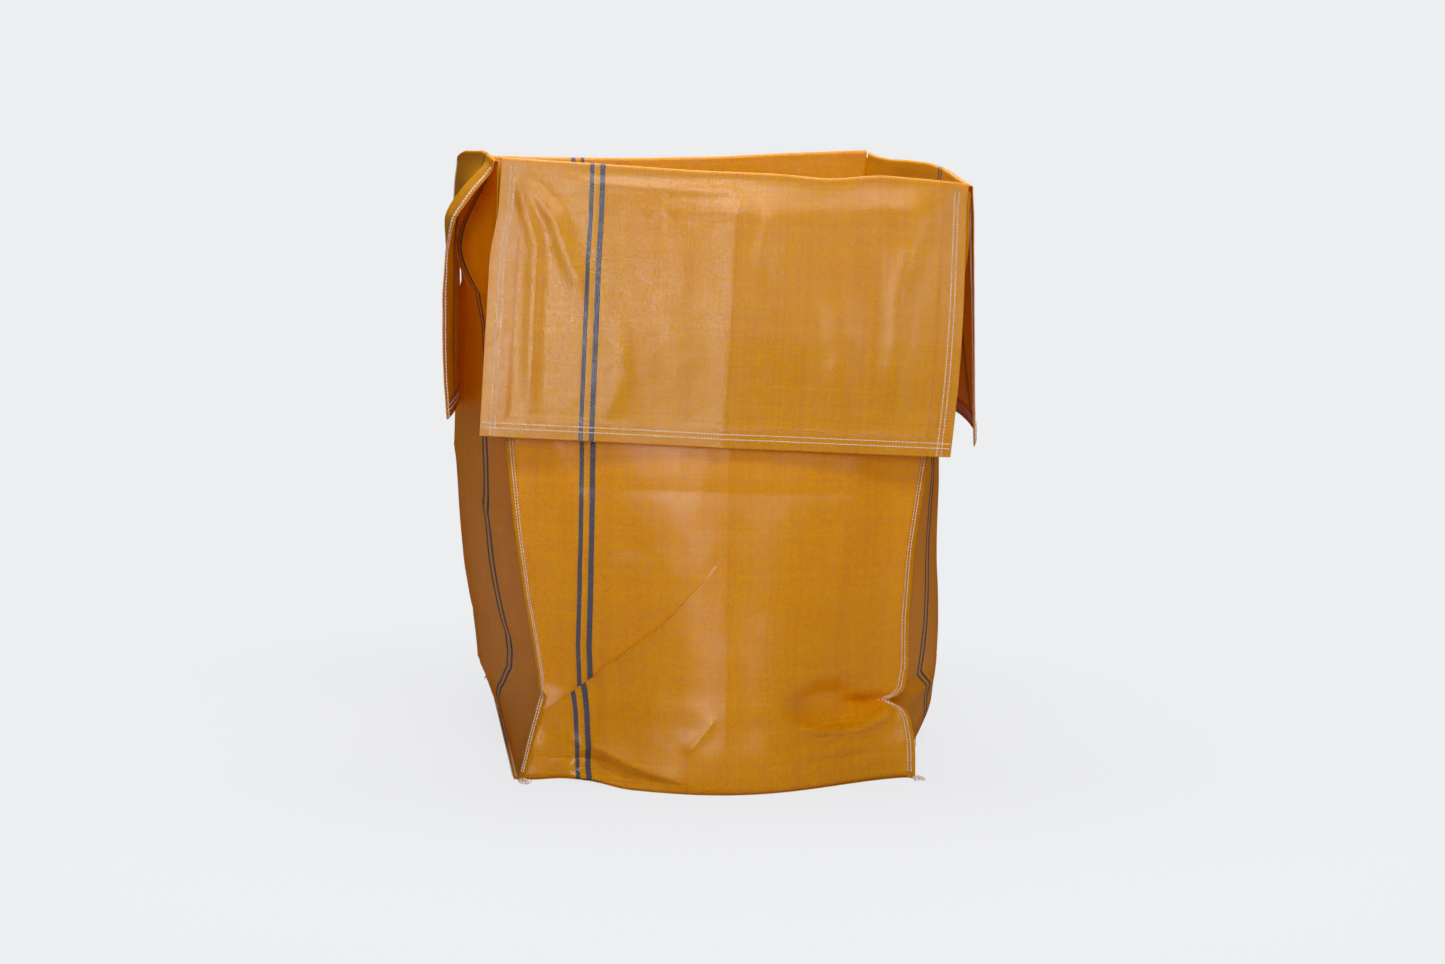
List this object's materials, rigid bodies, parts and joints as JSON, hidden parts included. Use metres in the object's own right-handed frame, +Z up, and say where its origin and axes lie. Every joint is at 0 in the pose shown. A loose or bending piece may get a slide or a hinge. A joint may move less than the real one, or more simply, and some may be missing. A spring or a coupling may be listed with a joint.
{
  "type": "bulk bag",
  "caption": "Free-standing square bulk bag of orange coated woven sheet, open at the top, with flaps folded out over the rim that swing over to close the mouth.",
  "frame": {"origin": "on the floor under the middle of the mouth", "axes": "+Z up, the front panel faces -Y, +X to the right seen from the front"},
  "size_m": [0.8317, 0.8245, 0.9049],
  "materials": {
    "cloth": "coated plain weave, semi-gloss",
    "hem_cloth": "doubled coated plain weave, semi-gloss",
    "thread": "spun sewing thread"
  },
  "bodies": {
    "bag": {"base_panel": "cloth", "front_panel": "cloth", "right_panel": "cloth", "back_panel": "cloth", "left_panel": "cloth", "front_rim_fold": "cloth", "right_rim_fold": "cloth", "back_rim_fold": "cloth", "left_rim_fold": "cloth", "front_left_seam_stitching": "thread", "front_right_seam_stitching": "thread", "back_right_seam_stitching": "thread", "back_left_seam_stitching": "thread", "left_base_stitching": "thread", "right_base_stitching": "thread", "thread_tails": "thread"},
    "flap_front": {"front_flap": "cloth", "front_flap_side_hems": "hem_cloth", "front_flap_end_hem": "hem_cloth", "front_flap_stitching": "thread"},
    "flap_right": {"right_flap": "cloth", "right_flap_side_hems": "hem_cloth", "right_flap_end_hem": "hem_cloth", "right_flap_stitching": "thread"},
    "flap_back": {"back_flap": "cloth", "back_flap_side_hems": "hem_cloth", "back_flap_end_hem": "hem_cloth", "back_flap_stitching": "thread"},
    "flap_left": {"left_flap": "cloth", "left_flap_side_hems": "hem_cloth", "left_flap_end_hem": "hem_cloth", "left_flap_stitching": "thread"}
  },
  "joints": [
    {"name": "front_flap_hinge", "type": "hinge", "parent": "bag", "child": "flap_front", "pos_m": [0, -0.3435, 0.887], "axis": [-0.9997, 0, 0.0235], "range_deg": [0, 261.5], "deforming": ["front_rim_fold"]},
    {"name": "right_flap_hinge", "type": "hinge", "parent": "bag", "child": "flap_right", "pos_m": [0.3435, 0, 0.887], "axis": [0, -0.9995, -0.0323], "range_deg": [0, 277], "deforming": ["right_rim_fold"]},
    {"name": "back_flap_hinge", "type": "hinge", "parent": "bag", "child": "flap_back", "pos_m": [0, 0.3435, 0.886], "axis": [0.999, 0, 0.0441], "range_deg": [0, 254], "deforming": ["back_rim_fold"]},
    {"name": "left_flap_hinge", "type": "hinge", "parent": "bag", "child": "flap_left", "pos_m": [-0.3435, 0, 0.88], "axis": [0, 0.9994, -0.0353], "range_deg": [0, 271], "deforming": ["left_rim_fold"]}
  ]
}
